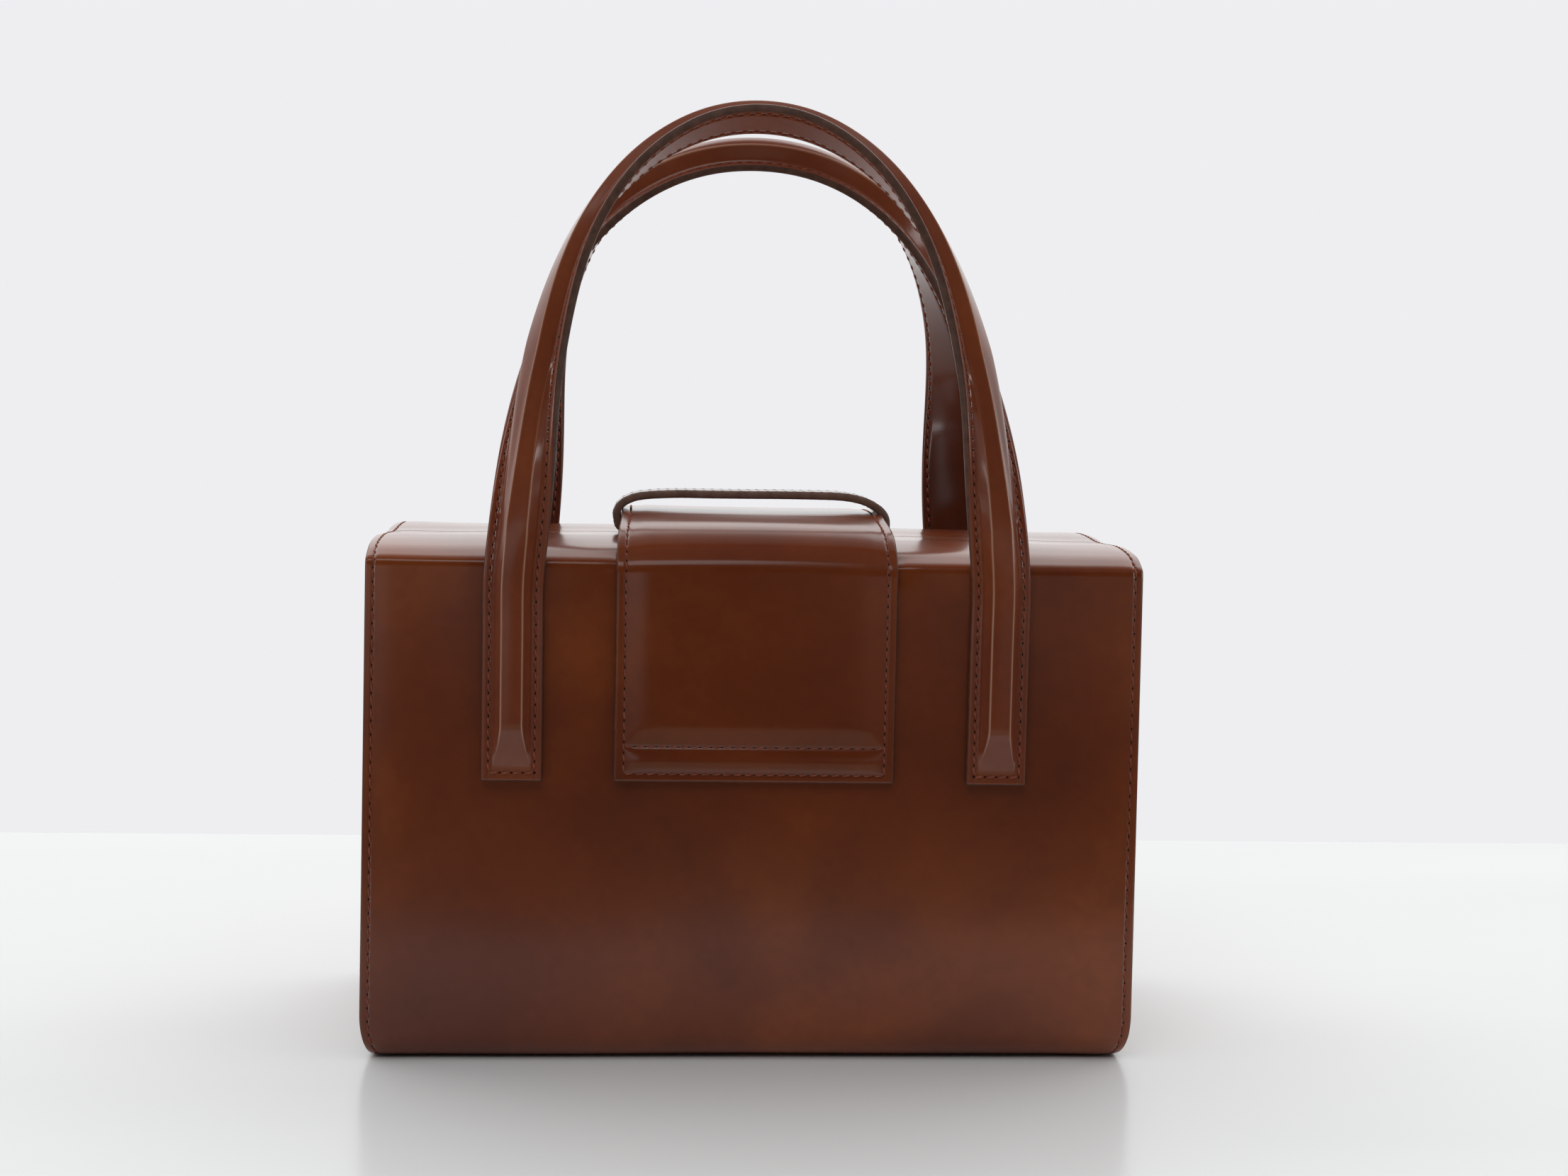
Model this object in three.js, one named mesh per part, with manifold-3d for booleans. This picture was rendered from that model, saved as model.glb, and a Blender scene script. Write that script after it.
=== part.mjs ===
// A structured leather handbag: a wrapped shell with inset side panels, a closing flap held by a keeper
// loop, and two padded strap handles that turn about their own length. Millimetres, +Z up, +X to the
// right, -Y towards the side that the flap is sewn to. The origin is the middle of the bottom.
import * as THREE from 'three';
import { mergeVertices } from 'three/addons/utils/BufferGeometryUtils.js';
import Module from 'manifold-3d';

const wasm = await Module();
wasm.setup();

// Driving dimensions
const GAP = 0.3;
const BAG_WIDTH = 250;
const BAG_DEPTH = 110;
const BAG_HEIGHT = 165;
const SIDE_TAPER = 1.4;
const WALL = 2.2;
const BOTTOM_RADIUS = 9;
const CORNER_TUCK = 2.5;
const CORNER_TUCK_HEIGHT = 18;
const TOP_DOME = 1.5;
const TOP_HALF_DEPTH = 50;
const MOUTH = 5;
const GUSSET_FLANGE = 7;
const GUSSET_RIM = 1.6;
const GUSSET_WEB = 1.8;
const TAB_BOTTOM = 91.9;
const FLAP_WIDTH = 88.7;
const FLAP_THICKNESS = 2;
const FLAP_CROWN = 2.2;
const FLAP_CROWN_HALF_DEPTH = 18;
const KEEPER_WIDTH = 15;
const KEEPER_NEAR = -17;
const KEEPER_HALF = 48;
const KEEPER_THICKNESS = 2.4;
const KEEPER_BOTTOM = 168.1;
const KEEPER_CORNER = 9;
const KEEPER_CORNER_TOP = 181.6;
const KEEPER_ARCH = 1;
const KEEPER_CHAMFER = 1;
const STRAP_WIDTH = 19.1;
const STRAP_THICKNESS = 2.8;
const CORE_WIDTH = 13.4;
const CORE_SHOULDER_WIDTH = 11;
const CORE_TOP_WIDTH = 6.6;
const CORE_HEIGHT = 4.7;
const CLASP_HEIGHT = 112;
const CLASP_RADIUS = 8;
const CLASP_DOME = 2.4;
const CLASP_POST_RADIUS = 2.5;
const CLASP_SIDES = 16;

const HALF_DEPTH = BAG_DEPTH / 2;

// Half of the shell's top from the mouth to the shoulder: distance from mid-depth and height
const TOP_ROWS = [
  { y: MOUTH / 2, z: 165.6 },
  { y: 14, z: 166.3 },
  { y: 27, z: 166.6 },
  { y: 37, z: 165.4 },
  { y: 46, z: 163.7 },
  { y: 50, z: 162.5 },
  { y: 52.6, z: 161.5 },
  { y: 54.2, z: 159.9 },
  { y: HALF_DEPTH, z: 157 },
];

// Heights of the panel's own rows, between the shoulder and the bottom corner
const PANEL_ROWS = [120, 80, 45, CORNER_TUCK_HEIGHT];

// Half of the flap's outer surface at its side edges, from mid-depth to the panel
const FLAP_ROWS = [
  { y: 0, z: 174.5 },
  { y: 9.7, z: 174.3 },
  { y: 17.5, z: 173.9 },
  { y: 26.6, z: 173 },
  { y: 34.1, z: 171.7 },
  { y: 41.5, z: 169.9 },
  { y: 46.2, z: 168 },
  { y: 49.3, z: 166.4 },
  { y: 52.5, z: 164.4 },
  { y: 55.8, z: 162 },
  { y: HALF_DEPTH + GAP + FLAP_THICKNESS, z: 158 },
];

// Heights of the flap's own rows on a panel
const FLAP_END_ROWS = [135, 110, TAB_BOTTOM];

// The tab of each handle, from its sewn end upwards: height of the underside's middle and share of the core
const TAB_X = 77.15;
const TAB_ROWS = [
  { z: TAB_BOTTOM, core: 0 },
  { z: TAB_BOTTOM + 6.6, core: 0 },
  { z: TAB_BOTTOM + 11, core: 0.6 },
  { z: TAB_BOTTOM + 15, core: 1 },
  { z: 135, core: 1 },
  { z: 156, core: 1 },
];

// The free part of each handle up to its highest point: half spread, distance from mid-depth and height of
// the underside's middle, and how far the padded side has turned from facing the panel's way, in degrees
const BACK_ROWS = [
  { x: 75.9, y: 56, z: 168, turn: 10 },
  { x: 74, y: 56, z: 183, turn: 25 },
  { x: 71.5, y: 55.3, z: 200, turn: 39 },
  { x: 68.3, y: 54.3, z: 217, turn: 50 },
  { x: 63.5, y: 53.3, z: 234, turn: 65 },
  { x: 57.3, y: 52.4, z: 252, turn: 74 },
  { x: 49.5, y: 51.6, z: 267.5, turn: 82 },
  { x: 39, y: 51, z: 281, turn: 89 },
  { x: 27, y: 50.7, z: 290.5, turn: 94 },
  { x: 14, y: 50.5, z: 296.3, turn: 97 },
  { x: 0, y: 50.5, z: 298.2, turn: 98 },
];
const FRONT_ROWS = [
  { x: 76.2, y: 56, z: 168, turn: 10 },
  { x: 75.1, y: 56, z: 183, turn: 25 },
  { x: 74, y: 55.3, z: 200, turn: 38 },
  { x: 72.7, y: 54.3, z: 217, turn: 48 },
  { x: 70.2, y: 53.3, z: 234, turn: 60 },
  { x: 65, y: 52.4, z: 250, turn: 74 },
  { x: 57, y: 51.6, z: 266, turn: 91 },
  { x: 46, y: 51, z: 280, turn: 105 },
  { x: 32.5, y: 50.7, z: 290.5, turn: 114 },
  { x: 17, y: 50.5, z: 297, turn: 119 },
  { x: 0, y: 50.5, z: 299, turn: 121 },
];
const HANDLE_LEAN = 2;

// Leather and metal finishes
const leather = new THREE.MeshStandardMaterial({ color: 0x5e2f1d, roughness: 0.25, metalness: 0 });
const handleLeather = new THREE.MeshStandardMaterial({ color: 0x663320, roughness: 0.25, metalness: 0 });
const darkLeather = new THREE.MeshStandardMaterial({ color: 0x33190f, roughness: 0.4, metalness: 0 });
const bronze = new THREE.MeshStandardMaterial({ color: 0x6b4a2c, roughness: 0.35, metalness: 1 });

// Signed volume of a triangle mesh, positive when its faces point out
function signedVolume(points, indices) {
  let volume = 0;
  const cross = new THREE.Vector3();
  for (let i = 0; i < indices.length; i += 3) {
    const [a, b, c] = [points[indices[i]], points[indices[i + 1]], points[indices[i + 2]]];
    volume += a.dot(cross.crossVectors(b, c)) / 6;
  }
  return volume;
}

// Geometry of a closed mesh from its corner points and triangles, turned so that its faces point out
function closedGeometry(points, indices) {
  const outward = signedVolume(points, indices) > 0 ? indices : [...indices].reverse();
  const geometry = new THREE.BufferGeometry().setFromPoints(points);
  geometry.setIndex(outward);
  geometry.computeVertexNormals();
  return geometry;
}

function pushQuad(indices, a, b, c, d) {
  indices.push(a, b, c, a, c, d);
}

// Closed wall between two grids of points with the same rows and columns
function wallBetween(outer, inner) {
  const rows = outer.length;
  const columns = outer[0].length;
  const points = [...outer.flat(), ...inner.flat()];
  const indices = [];
  const front = (row, column) => row * columns + column;
  const back = (row, column) => rows * columns + front(row, column);
  for (let row = 0; row < rows - 1; row++) {
    for (let column = 0; column < columns - 1; column++) {
      const corners = [[row, column], [row, column + 1], [row + 1, column + 1], [row + 1, column]];
      pushQuad(indices, ...corners.map(([r, c]) => front(r, c)));
      pushQuad(indices, ...corners.reverse().map(([r, c]) => back(r, c)));
    }
    pushQuad(indices, front(row, 0), front(row + 1, 0), back(row + 1, 0), back(row, 0));
    const last = columns - 1;
    pushQuad(indices, front(row, last), back(row, last), back(row + 1, last), front(row + 1, last));
  }
  for (let column = 0; column < columns - 1; column++) {
    const end = rows - 1;
    pushQuad(indices, front(0, column), back(0, column), back(0, column + 1), front(0, column + 1));
    pushQuad(indices, front(end, column), front(end, column + 1), back(end, column + 1), back(end, column));
  }
  return closedGeometry(points, indices);
}

// Closed body through rings of points, with flat fans over its two ends
function loft(rings) {
  const count = rings[0].length;
  const points = rings.flat();
  const indices = [];
  for (let ring = 0; ring < rings.length - 1; ring++) {
    for (let side = 0; side < count; side++) {
      const next = (side + 1) % count;
      const [low, high] = [ring * count, (ring + 1) * count];
      pushQuad(indices, low + side, low + next, high + next, high + side);
    }
  }
  const lastRing = (rings.length - 1) * count;
  const middle = (ring) => ring.reduce((sum, p) => sum.add(p), new THREE.Vector3()).divideScalar(count);
  points.push(middle(rings[0]), middle(rings[rings.length - 1]));
  for (let side = 0; side < count; side++) {
    const next = (side + 1) % count;
    indices.push(points.length - 2, next, side);
    indices.push(points.length - 1, lastRing + side, lastRing + next);
  }
  return closedGeometry(points, indices);
}

// Solid for joins and cuts, and back
function toManifold(geometry) {
  const bare = new THREE.BufferGeometry();
  bare.setAttribute('position', geometry.getAttribute('position').clone());
  bare.setIndex(geometry.getIndex());
  const merged = mergeVertices(bare);
  return new wasm.Manifold(new wasm.Mesh({
    numProp: 3,
    vertProperties: new Float32Array(merged.getAttribute('position').array),
    triVerts: new Uint32Array(merged.getIndex().array),
  }));
}

function fromManifold(solid) {
  const mesh = solid.getMesh();
  const geometry = new THREE.BufferGeometry();
  geometry.setAttribute('position', new THREE.BufferAttribute(new Float32Array(mesh.vertProperties), 3));
  geometry.setIndex(new THREE.BufferAttribute(new Uint32Array(mesh.triVerts), 1));
  geometry.computeVertexNormals();
  return geometry;
}

// Outline of the shell from its back lip round the bottom to its front lip, as (y, z) points
function shellOutline() {
  const top = new THREE.SplineCurve(TOP_ROWS.map((row) => new THREE.Vector2(-row.y, row.z))).getPoints(16);
  const side = PANEL_ROWS.map((z) => new THREE.Vector2(-HALF_DEPTH, z));
  const corner = new THREE.Path();
  corner.absarc(BOTTOM_RADIUS - HALF_DEPTH, BOTTOM_RADIUS, BOTTOM_RADIUS, Math.PI, 1.5 * Math.PI, false);
  const half = [...top, ...side, ...corner.getPoints(5)];
  const mirrored = half.map((p) => new THREE.Vector2(-p.x, p.y)).reverse();
  return [...half, ...mirrored];
}

// The same outline moved inwards by a distance
function inset(outline, distance) {
  return outline.map((point, i) => {
    const before = outline[Math.max(i - 1, 0)];
    const after = outline[Math.min(i + 1, outline.length - 1)];
    const along = after.clone().sub(before).normalize();
    return new THREE.Vector2(point.x - along.y * distance, point.y + along.x * distance);
  });
}

// Half width of the bag at a height: a slight taper upwards and a tuck at the bottom corners
function halfWidth(z) {
  const tuck = Math.max(0, 1 - z / CORNER_TUCK_HEIGHT);
  return BAG_WIDTH / 2 - SIDE_TAPER * z / BAG_HEIGHT - CORNER_TUCK * tuck * tuck;
}

// Rise of the top towards the middle of the bag
function dome(x, y, z) {
  if (z < BAG_HEIGHT / 2) return 0;
  const across = 1 - (2 * x / BAG_WIDTH) ** 2;
  const along = Math.max(0, 1 - (y / TOP_HALF_DEPTH) ** 2);
  return TOP_DOME * across * along;
}

// Point of the shell's outline at a share of the half width
function onShell(point, share) {
  const x = share * halfWidth(point.y);
  return new THREE.Vector3(x, point.x, point.y + dome(x, point.x, point.y));
}

function shellGeometry() {
  const shares = [-1, -0.75, -0.5, -0.25, 0, 0.25, 0.5, 0.75, 1];
  const outline = shellOutline();
  const grid = (line) => line.map((point) => shares.map((share) => onShell(point, share)));
  return wallBetween(grid(outline), grid(inset(outline, WALL)));
}

// Side panel: a flat web with a rim that runs out to the shell's edge, closed across the mouth
function gussetGeometry(side) {
  const rimOutline = inset(shellOutline(), WALL + GAP);
  const pocketOutline = inset(rimOutline, GUSSET_RIM);
  const place = (line, depth) => line.map((point) => (
    new THREE.Vector3(side * (halfWidth(point.y) - depth), point.x, point.y)
  ));
  return loft([
    place(rimOutline, GUSSET_FLANGE),
    place(rimOutline, 0),
    place(pocketOutline, 0),
    place(pocketOutline, GUSSET_FLANGE - GUSSET_WEB),
  ]);
}

// Outline of the flap over the bag from its sewn end to its free end, as (y, z) points
function flapOutline() {
  const top = new THREE.SplineCurve(FLAP_ROWS.map((row) => new THREE.Vector2(row.y, row.z))).getPoints(18);
  const end = FLAP_END_ROWS.map((z) => new THREE.Vector2(HALF_DEPTH + GAP + FLAP_THICKNESS, z));
  const half = [...top, ...end];
  const mirrored = half.slice(1).map((p) => new THREE.Vector2(-p.x, p.y)).reverse();
  return [...mirrored, ...half];
}

function flapGeometry() {
  const shares = [-1, -0.6, -0.2, 0.2, 0.6, 1];
  const outline = flapOutline();
  const place = (point, share) => {
    const fade = 1 - THREE.MathUtils.smoothstep(Math.abs(point.x), FLAP_CROWN_HALF_DEPTH, TOP_HALF_DEPTH);
    const crown = FLAP_CROWN * fade * (1 - share * share);
    return new THREE.Vector3(share * FLAP_WIDTH / 2, point.x, point.y + crown);
  };
  const grid = (line) => line.map((point) => shares.map((share) => place(point, share)));
  const flap = toManifold(wallBetween(grid(outline), grid(inset(outline, -FLAP_THICKNESS))));
  const holeRadius = CLASP_POST_RADIUS + GAP;
  const hole = new THREE.CylinderGeometry(holeRadius, holeRadius, 5 * FLAP_THICKNESS, CLASP_SIDES);
  hole.deleteAttribute('normal');
  hole.deleteAttribute('uv');
  hole.translate(0, HALF_DEPTH, CLASP_HEIGHT);
  return fromManifold(flap.subtract(toManifold(hole)));
}

// Outline of the keeper, or of the space inside it, as a path in (x, z)
function traceKeeper(path, thickness) {
  const half = KEEPER_HALF - thickness;
  const corner = KEEPER_CORNER - thickness;
  const cornerX = KEEPER_HALF - KEEPER_CORNER;
  const cornerZ = KEEPER_CORNER_TOP - KEEPER_CORNER;
  const top = KEEPER_CORNER_TOP - thickness;
  const bottom = KEEPER_BOTTOM + thickness;
  path.moveTo(-half + KEEPER_CHAMFER, bottom);
  path.lineTo(half - KEEPER_CHAMFER, bottom);
  path.lineTo(half, bottom + KEEPER_CHAMFER);
  path.absarc(cornerX, cornerZ, corner, 0, Math.PI / 2, false);
  path.quadraticCurveTo(0, top + 2 * KEEPER_ARCH, -cornerX, top);
  path.absarc(-cornerX, cornerZ, corner, Math.PI / 2, Math.PI, false);
  path.lineTo(-half, bottom + KEEPER_CHAMFER);
  path.closePath();
  return path;
}

function keeperGeometry() {
  const shape = traceKeeper(new THREE.Shape(), 0);
  shape.holes.push(traceKeeper(new THREE.Path(), KEEPER_THICKNESS));
  const settings = { depth: KEEPER_WIDTH, curveSegments: 8, bevelEnabled: false };
  const band = new THREE.ExtrudeGeometry(shape, settings);
  band.rotateX(Math.PI / 2);
  band.translate(0, KEEPER_NEAR + KEEPER_WIDTH, 0);
  return band;
}

// Section of a handle strap: flat sewn edges and a raised core, as (across, out) points
function strapSection(core) {
  const edge = STRAP_WIDTH / 2;
  const base = CORE_WIDTH / 2;
  const top = CORE_TOP_WIDTH / 2;
  const shoulder = CORE_SHOULDER_WIDTH / 2;
  const height = (share) => STRAP_THICKNESS + share * core * CORE_HEIGHT;
  const half = [
    [edge, 0],
    [edge, STRAP_THICKNESS],
    [base, STRAP_THICKNESS],
    [shoulder, height(0.5)],
    [top, height(0.92)],
  ];
  const mirrored = half.map(([across, out]) => [-across, out]).reverse();
  return [...half, [0, height(1)], ...mirrored];
}

// Stations of a handle from its left tab over the top to its right tab
function handleStations(rows, side) {
  const tab = TAB_ROWS.map((row) => ({ x: TAB_X, y: HALF_DEPTH + GAP, turn: 0, ...row }));
  const leg = [...tab, ...rows.map((row) => ({ core: 1, ...row }))];
  const lean = (z) => side * HANDLE_LEAN * THREE.MathUtils.smoothstep(z, BAG_HEIGHT, 300);
  const at = (row, sign) => new THREE.Vector3(sign * row.x + lean(row.z), side * row.y, row.z);
  const rightLeg = leg.slice(0, -1).reverse();
  const places = [...leg.map((row) => at(row, -1)), ...rightLeg.map((row) => at(row, 1))];
  const rolls = [...leg, ...rightLeg].map((row) => new THREE.Vector3(row.turn, row.core, 0));
  const path = new THREE.CatmullRomCurve3(places, false, 'catmullrom', 0.5);
  const roll = new THREE.CatmullRomCurve3(rolls, false, 'catmullrom', 0.5);
  const steps = 2 * (places.length - 1);
  return Array.from({ length: steps + 1 }, (_, i) => ({
    place: path.getPoint(i / steps),
    along: path.getTangent(i / steps),
    turn: THREE.MathUtils.degToRad(Math.max(0, roll.getPoint(i / steps).x)),
    core: THREE.MathUtils.clamp(roll.getPoint(i / steps).y, 0, 1),
  }));
}

// Padded strap handle: the padded side starts facing away from the panel and turns to face out of the arch
function handleGeometry(rows, side) {
  const rings = handleStations(rows, side).map(({ place, along, turn, core }) => {
    const outOfArch = along.clone().cross(new THREE.Vector3(0, 1, 0)).normalize();
    const awayFromPanel = outOfArch.clone().cross(along).multiplyScalar(side);
    const [cos, sin] = [Math.cos(turn), Math.sin(turn)];
    const out = awayFromPanel.clone().multiplyScalar(cos).addScaledVector(outOfArch, sin);
    const across = awayFromPanel.clone().multiplyScalar(sin).addScaledVector(outOfArch, -cos);
    const at = ([a, o]) => place.clone().addScaledVector(across, a).addScaledVector(out, o);
    return strapSection(core).map(at);
  });
  return loft(rings);
}

// Plain snap: a low domed cap with a post through the flap
function claspGeometry() {
  const seat = HALF_DEPTH + 2 * GAP + FLAP_THICKNESS;
  const profile = [
    [0, HALF_DEPTH + GAP],
    [CLASP_POST_RADIUS, HALF_DEPTH + GAP],
    [CLASP_POST_RADIUS, seat],
    [CLASP_RADIUS, seat],
    [CLASP_RADIUS, seat + 0.3 * CLASP_DOME],
    [0.75 * CLASP_RADIUS, seat + 0.75 * CLASP_DOME],
    [0.4 * CLASP_RADIUS, seat + 0.95 * CLASP_DOME],
    [0, seat + CLASP_DOME],
  ];
  const cap = new THREE.LatheGeometry(profile.map(([r, y]) => new THREE.Vector2(r, y)), CLASP_SIDES);
  cap.translate(0, 0, CLASP_HEIGHT);
  return cap;
}

function piece(name, geometry, material) {
  const mesh = new THREE.Mesh(geometry, material);
  mesh.name = name;
  return mesh;
}

const bag = new THREE.Group();
bag.add(piece('shell', shellGeometry(), leather));
bag.add(piece('gusset_left', gussetGeometry(-1), leather));
bag.add(piece('gusset_right', gussetGeometry(1), leather));
bag.add(piece('flap', flapGeometry(), leather));
bag.add(piece('keeper', keeperGeometry(), darkLeather));
bag.add(piece('handle_back', handleGeometry(BACK_ROWS, -1), handleLeather));
bag.add(piece('handle_front', handleGeometry(FRONT_ROWS, 1), handleLeather));
bag.add(piece('clasp', claspGeometry(), bronze));

export default bag;
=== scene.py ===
import math

import bmesh
import bpy
import numpy as np
from mathutils import Matrix, Vector


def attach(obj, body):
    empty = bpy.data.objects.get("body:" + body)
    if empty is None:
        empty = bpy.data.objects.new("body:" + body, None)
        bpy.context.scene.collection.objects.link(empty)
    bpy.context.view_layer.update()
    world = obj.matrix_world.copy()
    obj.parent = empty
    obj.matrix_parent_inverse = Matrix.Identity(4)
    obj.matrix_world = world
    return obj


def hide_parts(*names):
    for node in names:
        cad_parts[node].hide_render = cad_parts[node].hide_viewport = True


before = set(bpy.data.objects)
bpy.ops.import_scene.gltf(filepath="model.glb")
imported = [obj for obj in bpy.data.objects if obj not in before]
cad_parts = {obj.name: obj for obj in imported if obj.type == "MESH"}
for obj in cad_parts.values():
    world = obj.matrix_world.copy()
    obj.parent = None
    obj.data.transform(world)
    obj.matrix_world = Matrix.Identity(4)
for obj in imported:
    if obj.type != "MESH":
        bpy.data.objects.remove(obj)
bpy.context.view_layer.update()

# Sizes are in millimetres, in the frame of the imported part, and turn into metres where meshes are made.
# An inset is the distance of stitches from an edge
MM = 0.001
GAP = 0.3

# Shell
BAG_WIDTH = 250
BAG_HEIGHT = 165
HALF_DEPTH = 55
SIDE_TAPER = 1.4
WALL = 2.2
EDGE_BULGE = 0.5
EDGE_DROP = 0.5
EDGE_DROP_REACH = 7
BOTTOM_RADIUS = 9
BOTTOM_STEPS = 12
CORNER_TUCK = 3.2
CORNER_TUCK_HEIGHT = 15
TOP_DOME = 1.5
TOP_HALF_DEPTH = 50
LIP_LENGTH = 1.2
SHOULDER_BEFORE = 9
SHOULDER_PAST = 1
LIP_SPACING = 0.3
SHOULDER_SPACING = 0.5
PANEL_SPACING = 1.6
SHELL_COLUMN_SPACING = 6
SHELL_INSET = 2.35
SHELL_STITCH_PITCH = 4.4
SHELL_SEAM_WIDTH = 0.9

# Near and far half of the shell's top from the mouth to the shoulder: distance from mid-depth and height
NEAR_TOP_ROWS = [(0.6, 166.1), (6, 166.2), (15, 166.55), (25, 166.85), (32, 166.6), (37, 166.25), (42, 165.7),
                 (46, 165), (49, 164), (51.5, 162.9), (53.3, 162), (54.3, 161.2), (54.85, 160.2), (55, 158.8)]
FAR_TOP_ROWS = [(0.6, 166.1), (9, 166.3), (17, 166.8), (25, 167.1), (34, 167.2), (42, 166.9), (46.5, 166.1),
                (49.5, 164.8), (51.8, 163.2), (53.4, 162), (54.3, 161.2), (54.85, 160.2), (55, 158.8)]

# Shallow waves of the worn panels: millimetres to a radian across and upwards, phases, and where they fade in
WAVE_DEPTH = 0.14
BROAD_WAVE = (34, 27)
BROAD_PHASES = (0.7, 0.4)
NARROW_WAVE = (19, 31)
NARROW_PHASE = -1.1
NARROW_SHARE = 0.7
WAVE_FADE = (3, 25)

# Hollow of the shell's shoulders under the flap, with the heights, depths and half widths where it fades
SEAT_DEPTH = 0.9
SEAT_HEIGHTS = (152, 160)
SEAT_DEPTHS = (44, 52)
SEAT_HALF_WIDTHS = (41, 45.5)

# Gussets
GUSSET_FLANGE = 7
GUSSET_RIM = 1.6
GUSSET_WEB = 1.8
GUSSET_SAG = 1.6
GUSSET_FACE = GUSSET_FLANGE - GUSSET_WEB
GUSSET_POINTS = 200
GUSSET_BLUR = 2

# Section of a gusset from its inner side over its rim to its face: distance in from the shell and depth
# from its edge, and shares of the way to the middle at which the web has points
GUSSET_BACK = [(0, GUSSET_FLANGE), (0, 3)]
GUSSET_LIP = [(0, 0.7), (0.25, 0.2), (0.8, 0), (1.35, 0.2), (GUSSET_RIM, 0.7)]
GUSSET_BEND = [(GUSSET_RIM, 2), (GUSSET_RIM, GUSSET_FACE - 1.2), (GUSSET_RIM + 0.3, GUSSET_FACE - 0.4),
               (GUSSET_RIM + 1.1, GUSSET_FACE)]
GUSSET_SHRINKS = [0.02, 0.06, 0.12, 0.25, 0.45, 0.7, 0.9]

# Flap
TAB_BOTTOM = 91.9
FLAP_WIDTH = 89.2
FLAP_NARROWING = 2.4
FLAP_NARROWING_START = 20
FLAP_OFFSET = -0.4
FLAP_THICKNESS = 2
FLAP_CROWN = 0.95
FLAP_CROWN_RISE = (120, 158)
FLAP_HOLLOW = 1.4
FLAP_HOLLOW_REACH = (14, 44)
FLAP_INSET = 2.6
FLAP_END_INSET = 2.1
FLAP_STITCH_PITCH = 3.4
FLAP_SEAM_WIDTH = 0.8
FLAP_BAND = 8.7
FLAP_BAND_TOP = FLAP_END_INSET + FLAP_BAND
FLAP_BAND_PUFF = 0.55
FLAP_PADDING = 0.45
FLAP_PADDING_RISE = (0.2, 7)
FLAP_PUFF_REACH = 7
FLAP_ROW_SPACING = 1
FLAP_COLUMN_SPACING = 3
FAR_FROM_SEAM = 9

# Half of the flap's outer surface at its side edges, from mid-depth to the panel
FLAP_ROWS = [(0, 175.7), (10, 175.6), (17, 175.3), (22, 174.8), (26, 174.2), (31.5, 173.3), (38.3, 172.1),
             (42.6, 171.1), (45.6, 170), (48.2, 168.7), (50.4, 167.3), (52.4, 165.7), (54, 164.1),
             (55.4, 162.4), (56.5, 160.9), (57.1, 159.4), (57.3, 158)]

# Keeper
KEEPER_WIDTH = 15
KEEPER_NEAR = -17
KEEPER_MIDDLE = KEEPER_NEAR + KEEPER_WIDTH / 2
KEEPER_THICKNESS = 2.6
KEEPER_BOTTOM = 168.2
KEEPER_LOW_CORNER = 1.9
KEEPER_CORNER_STEPS = 7
KEEPER_ROUND = 0.5
KEEPER_PAINT_START = 6.9
KEEPER_POINTS = 200
KEEPER_INSET = 1.7
KEEPER_STITCH_PITCH = 3
KEEPER_STITCH_SINK = 0.22
KEEPER_STITCH_SLANT = 0.35
KEEPER_THREAD_RADIUS = 0.26

# Half of the keeper's face: distance from the middle of its width and dip at the stitches
KEEPER_FACE = [(0, 0), (2, 0), (4, 0), (5.2, 0), (5.5, -0.12), (5.8, -0.2), (6.1, -0.12), (6.5, 0), (7, 0)]

# Middle of the keeper's thickness from its right foot over the flap to its left foot, as (x, z)
KEEPER_ROWS = [(44.5, 171.3), (44.5, 172.6), (44.3, 173.9), (43.6, 175.4), (42.3, 176.8), (40.4, 178.1),
               (38, 179.3), (35.1, 180.2), (31.8, 180.8), (27.6, 181.15), (20.4, 181.25), (8.6, 181.25),
               (0, 181.15), (-15, 181.05), (-24.4, 181.05), (-31.5, 180.75), (-35.7, 180.4), (-39.2, 179.8),
               (-41.6, 178.9), (-43.3, 177.9), (-44.7, 176.5), (-45.4, 175), (-45.5, 173.5), (-45.2, 172.2),
               (-45.1, 171.3)]

# Handles
STRAP_WIDTH = 19.1
STRAP_THICKNESS = 2.8
STRAP_ROUND = 0.55
STRAP_MARGIN = 1.2
STRAP_INSET = 2.3
STRAP_SEWN = STRAP_WIDTH / 2 - STRAP_INSET
STRAP_STITCH_PITCH = 3.6
STRAP_STITCH_SLANT = 0.22
STRAP_THREAD_RADIUS = 0.4
STRAP_SEAM_WIDTH = 1
FACE_STITCH_SINK = 0.2
BACK_STITCH_SINK = 0.15
BACK_STITCH_START = BAG_HEIGHT + 2
TAB_STITCH_LIFT = 0.02
TAB_STITCH_POINTS = 12
TAB_X = 77.15
HANDLE_LEAN = 2
HANDLE_TOP = 300
UNDERSIDE_HEIGHT = 0.3
END_RINGS = 4
END_THINNEST = 0.08

# Points across a strap's flat back, and its sewn lines: distance from the stitches, step to the padded side
STRAP_BACK = [0, 3, 5.5]
STRAP_BACK_LINE = [(-0.6, 0), (-0.3, 0.12), (0, 0.22), (0.3, 0.12), (0.6, 0)]
STRAP_FACE_LINE = [(0.6, 0), (0.3, -0.14), (0, -0.26), (-0.3, -0.1)]

# Heights of the underside's middle on the tab of each handle
TAB_ROWS = [TAB_BOTTOM, 95, 98, 101, 104, 107, 110, 122, 140, 156]

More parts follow.
